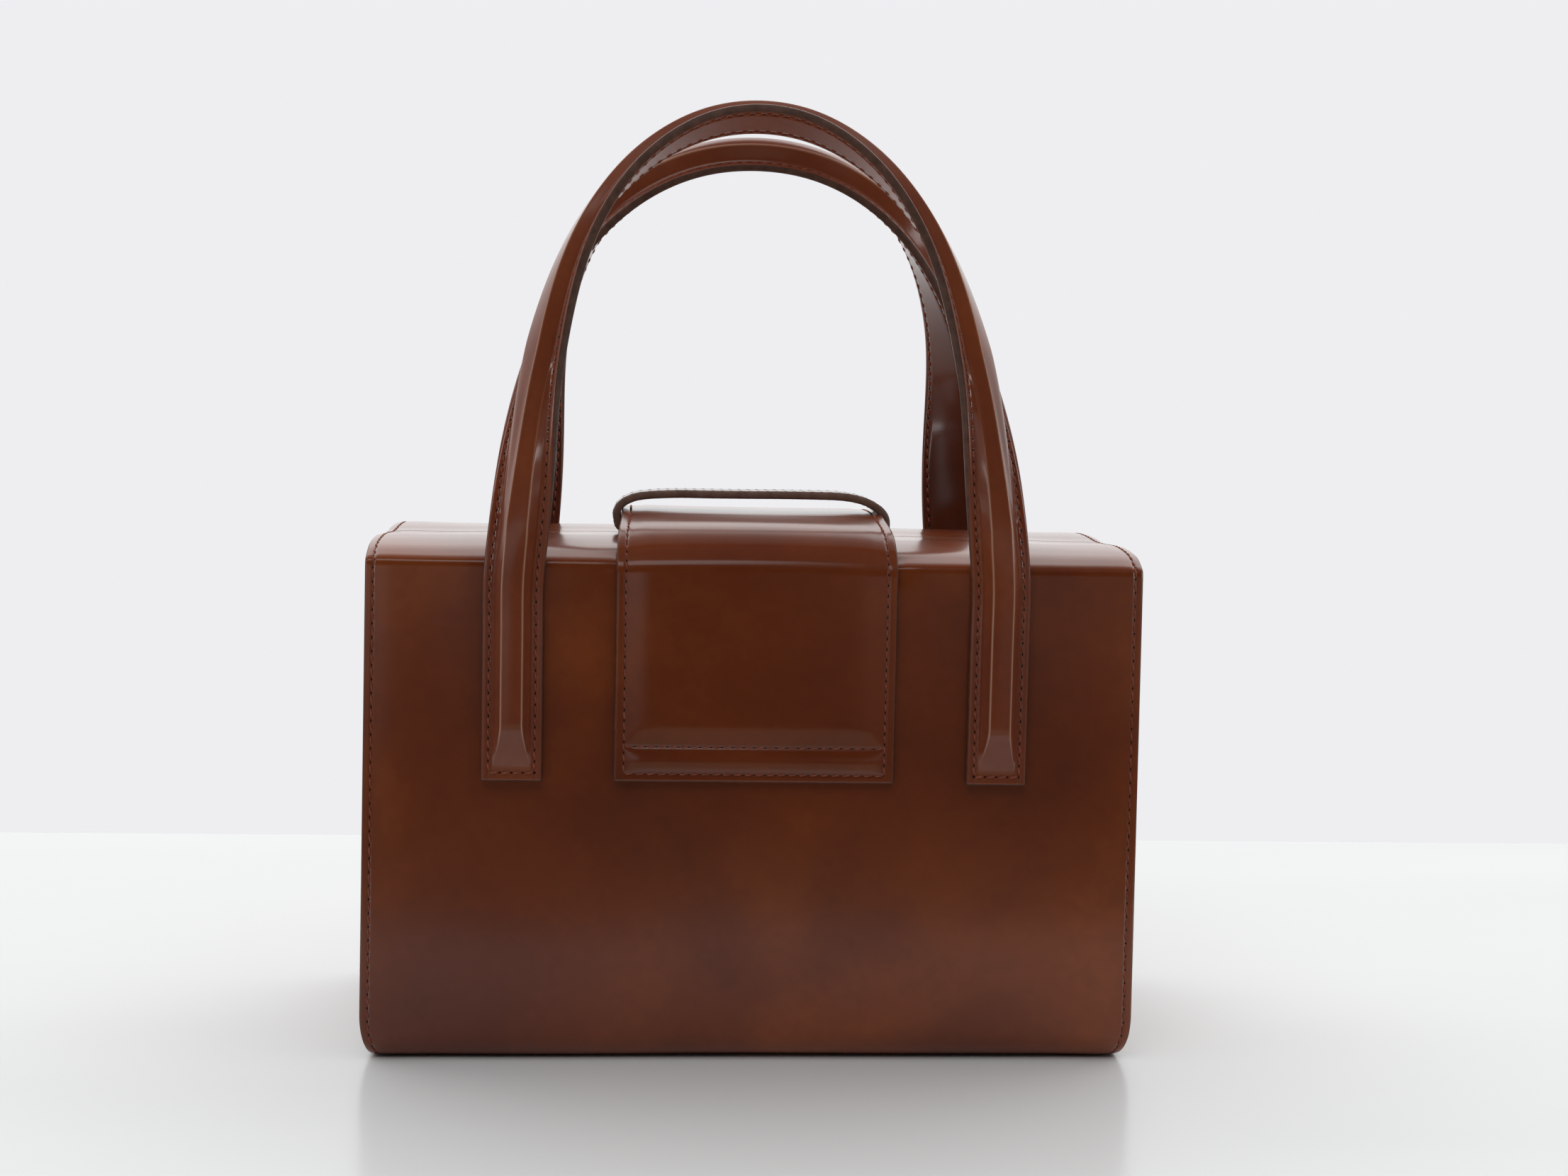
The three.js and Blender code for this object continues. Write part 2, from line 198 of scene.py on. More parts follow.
# The free part of each handle: half spread, distance from mid-depth and height of the underside's middle,
# and how far the padded side has turned, in degrees
BACK_ROWS = [(75.9, 56, 168, 1), (74, 56, 183, 10), (71.5, 55.3, 200, 31), (68.3, 54.3, 217, 47),
             (63.5, 53.3, 234, 61), (57.3, 52.4, 252, 73), (49.5, 51.6, 267.6, 83), (39, 51, 281.4, 93),
             (27, 50.7, 291.2, 102), (14, 50.5, 297.3, 109), (0, 50.5, 299.3, 112)]
FRONT_ROWS = [(76.2, 56, 168, 1), (75.1, 56, 183, 10), (74, 55.3, 200, 29), (72.7, 54.3, 217, 45),
              (70.2, 53.3, 234, 60), (65, 52.4, 250, 75), (57, 51.6, 266, 91), (46, 51, 279.6, 105),
              (32.5, 50.7, 289.8, 116), (17, 50.5, 296.1, 123), (0, 50.5, 298.1, 126)]

# Rows over which each column of a handle's line is softened, and heights between which that begins
HANDLE_BLURS = (3, 9, 3, 5)
HANDLE_FREE = (135, 165)

# Heights between which a strap becomes the grip, and the shares of its width and of its core's height
# that the grip loses. A share below 0 is a gain
GRIP_HEIGHTS = (225, 294)
GRIP_NARROWING = 0.2
BACK_GRIP_PRESS = 0.22
FRONT_GRIP_PRESS = -0.2

# Padded core of a handle, with the turn in degrees over which its ridges slip across the strap
CORE_HEIGHT = 4.7
CORE_FOOT = 94.6
CORE_SHOULDER = 110.5
CORE_HALF_WIDTH = 6.15
CORE_FLAT_HALF = 2
CORE_LEAST_SPREAD = 0.12
CORE_SPREAD_POWER = 0.8
SLIP_START = 5
SLIP_SPAN = 50
# Strength and width of the pale lines painted along the core's ridges as a painted highlight
RIDGE_HIGHLIGHT = 0.55
RIDGE_HIGHLIGHT_WIDTH = 0.05

# Outer half of the core's outline: place along it, distance across from the middle and share of its height
CORE_OUTLINE = [(0, -6.75, 0), (0.5, -6.45, 0), (1, -CORE_HALF_WIDTH, 0), (1.08, -5.95, 0.05),
                (1.16, -5.75, 0.15), (1.4, -5.05, 0.39), (1.6, -4.5, 0.585), (1.8, -3.95, 0.78),
                (1.9, -3.68, 0.872), (1.95, -3.52, 0.92), (1.98, -3.4, 0.945), (2, -3.28, 0.962),
                (2.05, -3.05, 0.972), (2.3, -2, 0.985), (2.42, -1, 0.996), (2.5, 0, 1)]
CORE_MIDDLE = CORE_OUTLINE[-1][0]
CORE_STEPS = [0, 0.04, 0.08, 0.16, 0.3, 0.45, 0.6, 0.75, 0.86, 0.92, 0.96, 0.98]
CORE_PLACES = np.concatenate([[band + step for step in CORE_STEPS] for band in range(4)] + [[4]])[::-1]

# Clasp
CLASP_HEIGHT = 112
CLASP_RADIUS = 8
CLASP_POST = 2.5
CLASP_TIP = 0.4
CLASP_DOME = 2.4
CLASP_SIDES = 48

# The clasp's rim by steps from its radius, and its cap by shares of its radius, with heights over its seat
CLASP_RIM = [(-0.3, 0), (0, 0.25), (0, 0.7), (-0.35, 1), (-1.1, 1), (-1.4, 0.85), (-1.8, 1.15)]
CLASP_CAP = [(0.6, 1.75), (0.4, 2.15), (0.2, CLASP_DOME - 0.06)]

# Stitches and the grooves that they lie in
GROOVE_WIDTH = 0.45
GROOVE_DEPTH = 0.25
SEAM_SHADE = 0.3
THREAD_RADIUS = 0.33
STITCH_SLANT = 0.16
STITCH_SHARE = 0.8
STITCH_SIDES = 6
STITCH_RINGS = 5
STITCH_TIP = 0.35
STITCH_LIFT = 0.35
STITCH_DIVE = 1.1
# Dark domes at the needle holes, coloured as painted shade
HOLE_RADIUS = 0.38
HOLE_STRETCH = 1.25
HOLE_SIDES = 8
HOLE_SINK = 0.15
HOLE_RISE = 0.05
HOLE_TOP = 0.8

# Kinds of faces, as places in a piece's list of materials
FACE = 0
RIM = 1
UNDER = 2

# Points to a span of a smooth line, angles round a painted edge, rows over which a wall's normals are
# softened, and distances from a sewn edge and from a flap's end at which there are points
SPAN_POINTS = 8
EDGE_ANGLES = np.linspace(0, math.pi, 7)[1:-1]
NORMAL_BLUR = 5
EDGE_STEPS = [0, 0.5, 1, 1.5, 1.8, 2.05, 2.25, 2.45, 2.65, 2.9, 3.2, 3.7, 4.6, 6, 8, 11]
FLAP_END_STEPS = [0, 0.5, 1, 1.5, 1.8, 2.1, 2.4, 2.7, 3.3, 4.5, 6, 7.5, 9, 9.9, 10.3, 10.6, 10.8, 11, 11.3,
                  11.7, 12.6, 14]

# Heights in metres between which the leather is painted lighter and warmer downwards as painted light, the
# tint of that painted light at the bottom, and the tint of its flecks
PAINTED_LIGHT_HEIGHTS = (0.105, 0.02)
PAINTED_LIGHT_TINT = (1.1, 1.08, 1, 1)
FLECK_TINT = (0.9, 0.89, 0.88, 1)

# Camera of the photograph: place, turn to the right, tilt down and roll in degrees, and lens
CAMERA_PLACE = (-40.19, -740.63, 214.89)
CAMERA_YAW = 4.02
CAMERA_PITCH = 5.09
CAMERA_ROLL = -1.23
CAMERA_LENS = 50

# Pale table top that the bag stands on
FLOOR_WIDTH = 3000
FLOOR_FRONT = -240
FLOOR_BACK = 300
FLOOR_THICKNESS = 20

# Brightness of the studio, as positions and levels: from in front to behind, from the horizon up, from left
# to right low in front, and up to the horizon in front
WALL_LIGHT = [(0, 0.03), (0.25, 0.08), (0.38, 0.25), (0.47, 0.45), (0.53, 0.7), (0.62, 0.9), (0.8, 1.05)]
HEIGHT_LIGHT = [(0, 1), (0.35, 1.1), (0.6, 1.9), (0.82, 2), (0.9, 0.6), (1, 0.35)]
HAZE_LIGHT = [(0.3, 0.8), (0.42, 0.1), (0.5, 0.02), (0.6, 0.02), (0.75, 0.35)]
LOW_LIGHT = [(0.2, 0.05), (0.55, 1)]
GROUND_LIGHT = (0.42, 0.38, 0.3, 1)

# Parts of a direction between which these lights change
HAZE_REACH = (-0.3, 0.3)
LOW_REACH = (-0.2, 0)
GROUND_REACH = (-0.2, -0.24)
FRONT_REACH = (-0.5, 0)
HORIZON_REACH = (-0.02, 0.03)


# Lines and grids

def smooth_step(value, low, high):
    share = np.clip((value - low) / (high - low), 0, 1)
    return share * share * (3 - 2 * share)


def spline(rows):
    """Smooth line through rows of numbers."""
    rows = np.asarray(rows, float)
    ends = np.vstack([2 * rows[0] - rows[1], rows, 2 * rows[-1] - rows[-2]])
    line = []
    for i in range(len(rows) - 1):
        a, b, c, d = ends[i:i + 4]
        for t in np.linspace(0, 1, SPAN_POINTS, endpoint=False):
            line.append(b + 0.5 * t * (c - a + t * (2 * a - 5 * b + 4 * c - d + t * (3 * (b - c) + d - a))))
    return np.array(line + [rows[-1]])


def distances(line):
    steps = np.linalg.norm(np.diff(line, axis=0), axis=1)
    return np.concatenate([[0], np.cumsum(steps)])


def resample(line, stations):
    along = distances(line)
    return np.column_stack([np.interp(stations, along, line[:, k]) for k in range(line.shape[1])])


def stations_across(length, spacing, steps):
    """Places along a length, close together near its two ends."""
    steps = np.asarray(steps, float)
    count = max(2, round((length - 2 * steps[-1]) / spacing) + 1)
    middle = np.linspace(steps[-1], length - steps[-1], count)
    return np.concatenate([steps[:-1], middle, length - steps[-2::-1]])


def stations_between(breaks, spacings):
    """Places along a line with one spacing between each two breaks."""
    parts = [np.linspace(a, b, max(1, round((b - a) / step)), endpoint=False)
             for a, b, step in zip(breaks, breaks[1:], spacings)]
    return np.concatenate(parts + [breaks[-1:]])


def blur(values, width):
    """Soft running average along the first axis. Width is in rows."""
    reach = 3 * width
    weights = np.exp(-0.5 * (np.arange(-reach, reach + 1) / width) ** 2)
    before = np.repeat(values[:1], reach, axis=0)
    after = np.repeat(values[-1:], reach, axis=0)
    longer = np.concatenate([before, values, after])
    return sum(w * longer[k:k + len(values)] for k, w in enumerate(weights)) / weights.sum()


def unit(vectors):
    return vectors / np.maximum(np.linalg.norm(vectors, axis=-1, keepdims=True), 1e-12)


def grid_normals(grid, sign):
    return sign * unit(np.cross(np.gradient(grid, axis=0), np.gradient(grid, axis=1)))


def groove(distance):
    """Height of the leather at a distance from a sewn line."""
    return -GROOVE_DEPTH * np.exp(-(distance / GROOVE_WIDTH) ** 2)


def seam_shade(distance, width):
    """Share of the seam's darker colour at a distance from a sewn line."""
    return SEAM_SHADE * np.exp(-(distance / width) ** 2)


# Meshes

def make_object(name, points, faces, kinds, materials, seam=None):
    """Smooth closed mesh object from points in millimetres. Kinds are the materials of its faces."""
    mesh = bpy.data.meshes.new(name)
    mesh.from_pydata((np.asarray(points) * MM).tolist(), [], faces)
    for material in materials:
        mesh.materials.append(material)
    mesh.polygons.foreach_set("material_index", np.asarray(kinds, np.int32))
    mesh.polygons.foreach_set("use_smooth", np.ones(len(faces), bool))
    if seam is not None:
        mesh.attributes.new("seam", "FLOAT", "POINT").data.foreach_set("value", np.asarray(seam, np.float32))
    shape = bmesh.new()
    shape.from_mesh(mesh)
    bmesh.ops.recalc_face_normals(shape, faces=shape.faces)
    shape.to_mesh(mesh)
    shape.free()
    piece = bpy.data.objects.new(name, mesh)
    bpy.context.scene.collection.objects.link(piece)
    return piece


def border_of(rows, columns):
    """Indices round the border of a grid."""
    index = np.arange(rows * columns).reshape(rows, columns)
    return np.concatenate([index[0, :-1], index[:-1, -1], index[-1, :0:-1], index[:0:-1, 0]])


def border_outward(grid):
    """Directions that point out of a grid at each point of its border."""
    along_rows = unit(np.gradient(grid, axis=0))
    along_columns = unit(np.gradient(grid, axis=1))
    out = np.zeros_like(grid)
    out[0] -= along_rows[0]
    out[-1] += along_rows[-1]
    out[:, 0] -= along_columns[:, 0]
    out[:, -1] += along_columns[:, -1]
    return unit(out)


def grid_faces(index):
    corners = np.stack([index[:-1, :-1], index[1:, :-1], index[1:, 1:], index[:-1, 1:]], axis=-1)
    return corners.reshape(-1, 4).tolist()


def ring_faces(rings, sides, closed=False):
    """Faces through a row of rings, with flat ends unless it closes on itself."""
    index = np.arange(rings * sides).reshape(rings, sides)
    wrapped = np.column_stack([index, index[:, :1]])
    if closed:
        return grid_faces(np.vstack([wrapped, wrapped[:1]]))
    return grid_faces(wrapped) + [index[0, ::-1].tolist(), index[-1].tolist()]


def leather_wall(name, grid, normals, thickness, materials, seam):
    """Closed wall under a grid, with a rounded painted edge. Materials are face, edge and underside."""
    rows, columns = grid.shape[:2]
    count = rows * columns
    under = grid - unit(blur(normals, NORMAL_BLUR)) * thickness
    border = border_of(rows, columns)
    outward = border_outward(grid).reshape(-1, 3)[border]
    top, low = grid.reshape(-1, 3)[border], under.reshape(-1, 3)[border]
    rim = []
    for angle in EDGE_ANGLES:
        round_off = (top - low) / 2 * math.cos(angle) + outward * EDGE_BULGE * math.sin(angle)
        rim.append((top + low) / 2 + round_off)
    points = np.vstack([grid.reshape(-1, 3), under.reshape(-1, 3), *rim])
    index = np.arange(count).reshape(rows, columns)
    rounds = [2 * count + k * len(border) + np.arange(len(border)) for k in range(len(rim))]
    loops = [border, *rounds, border + count]
    bands = [grid_faces(np.column_stack([a, b])[np.r_[0:len(a), 0]]) for a, b in zip(loops, loops[1:])]
    faces = grid_faces(index) + grid_faces(index + count) + sum(bands, [])
    face_count = (rows - 1) * (columns - 1)
    kinds = [FACE] * face_count + [UNDER] * face_count + [RIM] * (len(faces) - 2 * face_count)
    seams = np.concatenate([seam.ravel(), np.zeros(count), np.ones(len(rim) * len(border))])
    return make_object(name, points, faces, kinds, materials, seams)


def ring_body(name, rings, kinds, materials, closed=False, seam=None):
    """Body through rings of points, with flat ends unless it closes on itself."""
    rings = np.asarray(rings)
    kinds = kinds.ravel().tolist()
    if not closed:
        kinds += [kinds[0], kinds[-1]]
    faces = ring_faces(*rings.shape[:2], closed)
    return make_object(name, rings.reshape(-1, 3), faces, kinds, materials, seam)


# Stitches

def stitch_template(length, radius):
    """One stitch along its first axis: a low arch of thread that dives into the leather at both ends."""
    points = []
    for share in np.linspace(-1, 1, STITCH_RINGS):
        girth = radius * max(STITCH_TIP, math.sqrt(max(0, 1 - share ** 4)))
        lift = radius * (STITCH_LIFT - STITCH_DIVE * share * share)
        for angle in np.linspace(0, 2 * math.pi, STITCH_SIDES, endpoint=False):
            points.append((share * length / 2, girth * math.cos(angle), lift + girth * math.sin(angle)))
    return np.array(points), ring_faces(STITCH_RINGS, STITCH_SIDES)


def hole_template():
    """The mouth of a needle hole as a flat dome, dark with painted shade."""
    angles = np.linspace(0, 2 * math.pi, HOLE_SIDES, endpoint=False)
    circle = np.column_stack([HOLE_STRETCH * np.cos(angles), np.sin(angles), 0 * angles]) * HOLE_RADIUS
    points = np.vstack([circle - (0, 0, HOLE_SINK), circle * HOLE_TOP + (0, 0, HOLE_RISE)])
    return points, ring_faces(2, HOLE_SIDES)


def place_copies(template, places, along, up, slant):
    """Copies of a template at places, with their first axis along and third axis up."""
    points, faces = template
    side = unit(np.cross(up, along))
    along = unit(np.cross(side, up))
    first = along * math.cos(slant) + side * math.sin(slant)
    second = side * math.cos(slant) - along * math.sin(slant)
    frames = np.stack([first, second, up], axis=1)
    copies = places[:, None, :] + np.einsum("pk,nkc->npc", points, frames)
    count = len(points)
    copied = [[corner + n * count for corner in face] for n in range(len(places)) for face in faces]
    return copies.reshape(-1, 3), copied


def stitches(name, runs, pitch, radius=THREAD_RADIUS, slant=STITCH_SLANT, yarn=None):
    """All the stitches of one piece, with dark domes of painted shade at their needle holes. A run is a line
    of points and the normals there.
    """
    points, faces, kinds = [], [], []
    start = 0
    for line, normals in runs:
        along = distances(line)
        count = max(1, round(along[-1] / pitch))
        step = along[-1] / count
        guide = np.hstack([line, unit(np.gradient(line, axis=0)), normals])
        for template, offset, lean, material in (
            (stitch_template(STITCH_SHARE * step, radius), 0.5, slant, 0),
            (hole_template(), 1, 0, 1),
        ):
            at = (np.arange(count) + offset) * step
            found = np.column_stack([np.interp(at, along, column) for column in guide.T])
            ahead, up = unit(found[:, 3:6]), unit(found[:, 6:])
            copies, copied = place_copies(template, found[:, :3], ahead, up, lean)
            points.append(copies)
            faces += [[corner + start for corner in face] for face in copied]
            kinds += [material] * len(copied)
            start += len(copies)
    return make_object(name, np.vstack(points), faces, kinds, [yarn or THREAD, SHADED_HOLE])


# Materials

def linear(red, green, blue):
    """Colour for a shader from screen values of 0 to 255."""
    shares = [value / 255 for value in (red, green, blue)]
    return (*(s / 12.92 if s <= 0.04045 else ((s + 0.055) / 1.055) ** 2.4 for s in shares), 1)


def tones(*colors):
    return [linear(*color) for color in colors]


def grey(value):
    return value, value, value, 1


def set_values(node, values):
    for socket, value in values.items():
        node.inputs[socket].default_value = value


def new_material(name, color, roughness, coat=0.0, coat_roughness=0.05, metallic=0.0, specular=0.5):
    material = bpy.data.materials.new(name)
    material.use_nodes = True
    shader = material.node_tree.nodes["Principled BSDF"]
    values = {"Base Color": color, "Roughness": roughness, "Metallic": metallic, "Coat Weight": coat}
    set_values(shader, {**values, "Coat Roughness": coat_roughness, "Specular IOR Level": specular})
    return material, material.node_tree, shader


def axes(tree, space):
    """Outputs X, Y and Z of the coordinates in a space."""
    coordinates = tree.nodes.new("ShaderNodeTexCoord")
    parts = tree.nodes.new("ShaderNodeSeparateXYZ")
    tree.links.new(coordinates.outputs[space], parts.inputs["Vector"])
    return parts.outputs


def noise(tree, scale, detail=3.0, distortion=0.0, stretch=(1, 1, 1)):
    """Noise in the object's own space. Scale is in features to a metre."""
    coordinates = tree.nodes.new("ShaderNodeTexCoord")
    mapping = tree.nodes.new("ShaderNodeMapping")
    set_values(mapping, {"Scale": stretch})
    texture = tree.nodes.new("ShaderNodeTexNoise")
    set_values(texture, {"Scale": scale, "Detail": detail, "Distortion": distortion})
    tree.links.new(coordinates.outputs["Object"], mapping.inputs["Vector"])
    tree.links.new(mapping.outputs["Vector"], texture.inputs["Vector"])
    return texture.outputs["Fac"]


def ramp(tree, factor, stops):
    """Colour ramp with stops of position and colour."""
    node = tree.nodes.new("ShaderNodeValToRGB")
    elements = node.color_ramp.elements
    elements[0].position, elements[0].color = stops[0]
    elements[1].position, elements[1].color = stops[-1]
    for position, color in stops[1:-1]:
        elements.new(position).color = color
    tree.links.new(factor, node.inputs["Fac"])
    return node.outputs["Color"]


def grey_ramp(tree, factor, stops):
    return ramp(tree, factor, [(position, grey(level)) for position, level in stops])


def mottled(tree, texture, dark, light):
    """Two tones of one colour, mixed by a texture."""
    return ramp(tree, texture, [(0.3, dark), (0.7, light)])


def mix(tree, factor, first, second, blend="MIX"):
    """Mix of two colours. Inputs 6 and 7 and output 2 are the node's colour sockets."""
    node = tree.nodes.new("ShaderNodeMix")
    node.data_type = "RGBA"
    node.blend_type = blend
    for socket, value in ((node.inputs["Factor"], factor), (node.inputs[6], first), (node.inputs[7], second)):
        if isinstance(value, bpy.types.NodeSocket):
            tree.links.new(value, socket)
        else:
            socket.default_value = value
    return node.outputs[2]


def map_range(tree, value, bounds):
    node = tree.nodes.new("ShaderNodeMapRange")
    set_values(node, bounds)
    tree.links.new(value, node.inputs["Value"])
    return node.outputs["Result"]


def around(tree, value, low, high):
    """Value brought to the range of 0 to 1 between two bounds."""
    return map_range(tree, value, {"From Min": low, "From Max": high})


def bump(tree, shader, layers):
    """Bump from layers of height, strength and depth in millimetres."""
    normal = None
    for height, strength, depth in layers:
        node = tree.nodes.new("ShaderNodeBump")
        set_values(node, {"Strength": strength, "Distance": depth * MM})
        tree.links.new(height, node.inputs["Height"])
        if normal is not None:
            tree.links.new(normal, node.inputs["Normal"])
        normal = node.outputs["Normal"]
    tree.links.new(normal, shader.inputs["Normal"])


def polished_leather(name, dark, middle, light, seam_color, coat=0.85):
    """Polished calf leather: cloudy, darker at seams, lighter and warmer low down as painted light, with
    painted highlights on ridges and a fine grain.
    """
    material, tree, shader = new_material(name, middle, 0.32, coat=coat, coat_roughness=0.16, specular=0.05)
    clouds = noise(tree, scale=14, distortion=0.4)
    color = ramp(tree, clouds, [(0.25, dark), (0.5, middle), (0.75, light)])
    flecks = mottled(tree, noise(tree, scale=260, detail=5), FLECK_TINT, grey(1))
    color = mix(tree, 1.0, color, flecks, "MULTIPLY")
    # Painted light: the leather turns lighter and warmer towards the bottom
    low = around(tree, axes(tree, "Object")["Z"], *PAINTED_LIGHT_HEIGHTS)
    color = mix(tree, 1.0, color, ramp(tree, low, [(0, grey(1)), (1, PAINTED_LIGHT_TINT)]), "MULTIPLY")
    seam = tree.nodes.new("ShaderNodeAttribute")
    seam.attribute_name = "seam"
    color = mix(tree, around(tree, seam.outputs["Fac"], 0, 1), color, seam_color)
    # Below 0 the seam share paints a pale highlight on the ridges of the handles
    color = mix(tree, around(tree, seam.outputs["Fac"], 0, -1), color, RIDGE_HIGHLIGHT_TINT)
    tree.links.new(color, shader.inputs["Base Color"])
    gloss = map_range(tree, noise(tree, scale=45, detail=4), {"To Min": 0.24, "To Max": 0.42})
    tree.links.new(gloss, shader.inputs["Roughness"])
    creases, grain = noise(tree, scale=55, detail=2), noise(tree, scale=1500, detail=4)
    bump(tree, shader, [(creases, 0.25, 0.5), (grain, 0.12, 0.08)])
    return material


def two_toned(name, dark, light, roughness, scale, detail=3.0, plain=None, **gloss):
    """Material with two tones mixed by noise. Plain is its one colour where noise can't show."""
    material, tree, shader = new_material(name, plain or dark, roughness, **gloss)
    tree.links.new(mottled(tree, noise(tree, scale, detail), dark, light), shader.inputs["Base Color"])
    return material, tree, shader


def edge_paint(name, dark, light):
    """Dark paint over the raw edges, slightly uneven."""
    material, tree, shader = two_toned(name, dark, light, 0.55, scale=320, detail=4, specular=0.25)
    bump(tree, shader, [(noise(tree, scale=700, detail=4), 0.35, 0.25)])
    return material


def flesh_side(name, dark, plain, light):
    """The rough inner side of the leather."""
    material, tree, shader = two_toned(name, dark, light, 0.9, scale=420, detail=6, plain=plain)
    bump(tree, shader, [(noise(tree, scale=1300, detail=6), 0.6, 0.3)])
    return material


def thread(name, dark, light):
    """Waxed thread with a fine twist."""
    material, tree, shader = two_toned(name, dark, light, 0.75, scale=900, specular=0.15)
    bump(tree, shader, [(noise(tree, scale=3000, detail=2, stretch=(1, 1, 3)), 0.5, 0.15)])
    return material


def needle_hole_painted_shade(name, dark, plain, light):
    """Painted shade for the dark inside of a needle hole."""
    return two_toned(name, dark, light, 0.9, scale=900, plain=plain, specular=0.05)[0]


def aged_bronze(name, dark, plain, light):
    """Worn bronze of uneven gloss."""
    material, tree, shader = two_toned(name, dark, light, 0.35, scale=180, detail=5, plain=plain, metallic=1)
    gloss = map_range(tree, noise(tree, scale=400, detail=4), {"To Min": 0.25, "To Max": 0.5})
    tree.links.new(gloss, shader.inputs["Roughness"])
    return material


# Tones run from dark to light. Leathers have a fourth one, for their seams
# Pale tint of the highlight painted on the handles' ridges
RIDGE_HIGHLIGHT_TINT = linear(205, 160, 136)
LEATHER_TONES = tones((90, 37, 17), (112, 50, 20), (136, 66, 25), (90, 38, 24))
HANDLE_TONES = tones((108, 49, 28), (124, 61, 35), (139, 72, 41), (98, 43, 29))
SHADED_TONES = tones((84, 41, 28), (96, 49, 33), (108, 57, 38), (82, 37, 27))
# Darker copy of the handle's tones, painted shade on the front handle's underside
DARK_TONES = tones((62, 32, 23), (74, 40, 29), (88, 50, 36), (56, 28, 20))
LEATHER = polished_leather("leather", *LEATHER_TONES)
HANDLE_LEATHER = polished_leather("handle_leather", *HANDLE_TONES)
BACK_UNDERSIDE = polished_leather("back_underside", *HANDLE_TONES, coat=0.1)
SHADED_FRONT_UNDERSIDE = polished_leather("front_underside_painted_shade", *SHADED_TONES, coat=0.6)
DARK_LEATHER = polished_leather("dark_leather", *DARK_TONES)
EDGE = edge_paint("edge_paint", *tones((78, 43, 32), (102, 60, 45)))
KEEPER_EDGE = edge_paint("keeper_edge", *tones((106, 80, 70), (128, 102, 90)))
HANDLE_EDGE = edge_paint("handle_edge", *tones((70, 46, 37), (92, 64, 53)))
FLESH = flesh_side("flesh_side", *tones((74, 45, 31), (92, 58, 40), (112, 74, 52)))
THREAD = thread("thread", *tones((120, 62, 46), (150, 86, 66)))
KEEPER_THREAD = thread("keeper_thread", *tones((62, 42, 36), (84, 60, 52)))
# Dark colour of the needle holes: painted shade
SHADED_HOLE = needle_hole_painted_shade("needle_hole_painted_shade", *tones((30, 14, 9), (38, 19, 12), (46, 23, 14)))
BRONZE = aged_bronze("aged_bronze", *tones((88, 60, 36), (120, 86, 52), (140, 104, 66)))


# Shell

def half_width(z):
    tuck = np.maximum(0, 1 - z / CORNER_TUCK_HEIGHT)
    return BAG_WIDTH / 2 - SIDE_TAPER * z / BAG_HEIGHT - CORNER_TUCK * tuck * tuck


def shell_outline():
    """The shell's outer side from its back lip round the bottom to its front lip, as (y, z) rows."""
    near, far = spline(NEAR_TOP_ROWS), spline(FAR_TOP_ROWS)
    angles = np.linspace(math.pi, 1.5 * math.pi, BOTTOM_STEPS)
    corner = BOTTOM_RADIUS * np.column_stack([np.cos(angles), np.sin(angles)])
    corner = corner + (BOTTOM_RADIUS - HALF_DEPTH, BOTTOM_RADIUS)
    return np.vstack([near * (-1, 1), corner, corner[::-1] * (-1, 1), far[::-1]])


def shell_rows():
    """Points of the shell's outline, close together at the lips and the shoulders."""
    outline = shell_outline()
    length = distances(outline)[-1]
    near = distances(spline(NEAR_TOP_ROWS))[-1]
    far = length - near
    breaks = [0, LIP_LENGTH, near - SHOULDER_BEFORE, near + SHOULDER_PAST,
              far - SHOULDER_PAST, far + SHOULDER_BEFORE, length - LIP_LENGTH, length]
    top = [LIP_SPACING, PANEL_SPACING, SHOULDER_SPACING]
    return resample(outline, stations_between(breaks, [*top, PANEL_SPACING, *top[::-1]]))


def inset(outline, distance):
    along = unit(np.gradient(outline, axis=0))
    return outline + distance * np.column_stack([-along[:, 1], along[:, 0]])


def dome(x, y, z):
    """Rise of the shell's top towards its middle."""
    rise = TOP_DOME * (1 - (2 * x / BAG_WIDTH) ** 2) * np.maximum(0, 1 - (y / TOP_HALF_DEPTH) ** 2)
    return np.where(z > BAG_HEIGHT / 2, rise, 0)


def shell_waves(x, y, z):
    """Slight hollows that a worn panel has, never standing out past the plain panel."""
    broad = np.sin(x / BROAD_WAVE[0] + BROAD_PHASES[0]) * np.sin((z + y) / BROAD_WAVE[1] + BROAD_PHASES[1])
    narrow = np.sin(x / NARROW_WAVE[0] + NARROW_PHASE + z / NARROW_WAVE[1])
    return WAVE_DEPTH * (broad + NARROW_SHARE * narrow - (1 + NARROW_SHARE))


def flap_seat(x, y, z):
    """Depth of the hollow under the flap, where it turns over the shell's shoulders."""
    at_shoulder = smooth_step(z, *SEAT_HEIGHTS) * smooth_step(abs(y), *SEAT_DEPTHS)
    return SEAT_DEPTH * at_shoulder * (1 - smooth_step(abs(x), *SEAT_HALF_WIDTHS))


def build_shell():
    rows = shell_rows()
    from_edge = stations_across(BAG_WIDTH, SHELL_COLUMN_SPACING, EDGE_STEPS)
    share = 2 * from_edge / BAG_WIDTH - 1
    y, z = rows[:, :1], rows[:, 1:]
    x = share * (half_width(z) - EDGE_BULGE)
    grid = np.stack([x, y + 0 * x, z + dome(x, y, z)], axis=-1)
    edge = np.minimum(from_edge, BAG_WIDTH - from_edge)
    relief = groove(edge - SHELL_INSET) - EDGE_DROP * np.maximum(0, 1 - edge / EDGE_DROP_REACH) ** 2
    relief = relief + shell_waves(x, y, z) * smooth_step(edge, *WAVE_FADE) - flap_seat(x, y, z)
    grid = grid + grid_normals(grid, 1) * relief[..., None]
    normals = grid_normals(grid, 1)
    seam = seam_shade(edge - SHELL_INSET, SHELL_SEAM_WIDTH) + 0 * x
    piece = leather_wall("shell_leather", grid, normals, WALL, [LEATHER, EDGE, FLESH], seam)
    first = np.argmin(abs(from_edge - SHELL_INSET))
    runs = [(grid[:, k], normals[:, k]) for k in (first, len(from_edge) - 1 - first)]
    return piece, stitches("shell_stitches", runs, SHELL_STITCH_PITCH)


# Side panels

